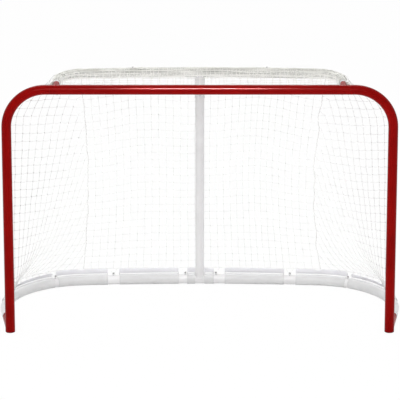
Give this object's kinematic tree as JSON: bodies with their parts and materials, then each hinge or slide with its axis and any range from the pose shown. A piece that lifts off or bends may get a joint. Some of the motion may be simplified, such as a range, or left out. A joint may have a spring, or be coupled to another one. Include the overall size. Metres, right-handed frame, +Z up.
{
  "type": "hockey goal",
  "caption": "Full-size hockey goal: red tubular steel posts and crossbar, white base loop, top shelf and centre post, with a white knotted net and vinyl skirt strips.",
  "frame": {"origin": "on the floor, below the middle of the goal's overall box", "axes": "+X to the right seen from in front of the mouth, +Y from the mouth to the back, +Z up"},
  "size_m": [2.0114, 0.7712, 1.2753],
  "materials": {
    "red_enamel": "gloss",
    "white_enamel": "satin",
    "zinc_plate": "satin",
    "twine": "matte",
    "vinyl": "satin",
    "foot_cap": "matte"
  },
  "bodies": {
    "root": {"left_post": "red_enamel", "right_post": "red_enamel", "crossbar": "red_enamel", "left_base_stub": "red_enamel", "right_base_stub": "red_enamel", "left_top_stub": "red_enamel", "right_top_stub": "red_enamel", "left_foot_cap": "foot_cap", "right_foot_cap": "foot_cap", "left_base_rail": "white_enamel", "right_base_rail": "white_enamel", "base_rear_rail": "white_enamel", "top_rail": "white_enamel", "centre_post": "white_enamel", "centre_socket": "white_enamel", "centre_spigot": "zinc_plate", "left_crossbar_spigot": "zinc_plate", "right_crossbar_spigot": "zinc_plate", "left_base_stub_spigot": "zinc_plate", "right_base_stub_spigot": "zinc_plate", "left_base_rail_spigot": "zinc_plate", "right_base_rail_spigot": "zinc_plate", "left_top_spigot": "zinc_plate", "right_top_spigot": "zinc_plate", "left_crossbar_bolt": "zinc_plate", "left_crossbar_nut": "zinc_plate", "right_crossbar_bolt": "zinc_plate", "right_crossbar_nut": "zinc_plate", "left_base_bolt": "zinc_plate", "left_base_nut": "zinc_plate", "right_base_bolt": "zinc_plate", "right_base_nut": "zinc_plate", "left_top_bolt": "zinc_plate", "left_top_nut": "zinc_plate", "right_top_bolt": "zinc_plate", "right_top_nut": "zinc_plate", "centre_top_bolt": "zinc_plate", "centre_top_nut": "zinc_plate", "centre_foot_bolt": "zinc_plate", "centre_foot_nut": "zinc_plate", "net_rear": "twine", "net_side_left": "twine", "net_side_right": "twine", "net_roof": "twine", "net_top_fold": "twine", "seam_cord_left": "twine", "seam_cord_right": "twine", "skirt_centre_left": "vinyl", "skirt_centre_right": "vinyl", "skirt_rear_left": "vinyl", "skirt_rear_right": "vinyl", "skirt_corner_left": "vinyl", "skirt_corner_right": "vinyl", "skirt_side_left": "vinyl", "skirt_side_right": "vinyl"}
  },
  "joints": []
}
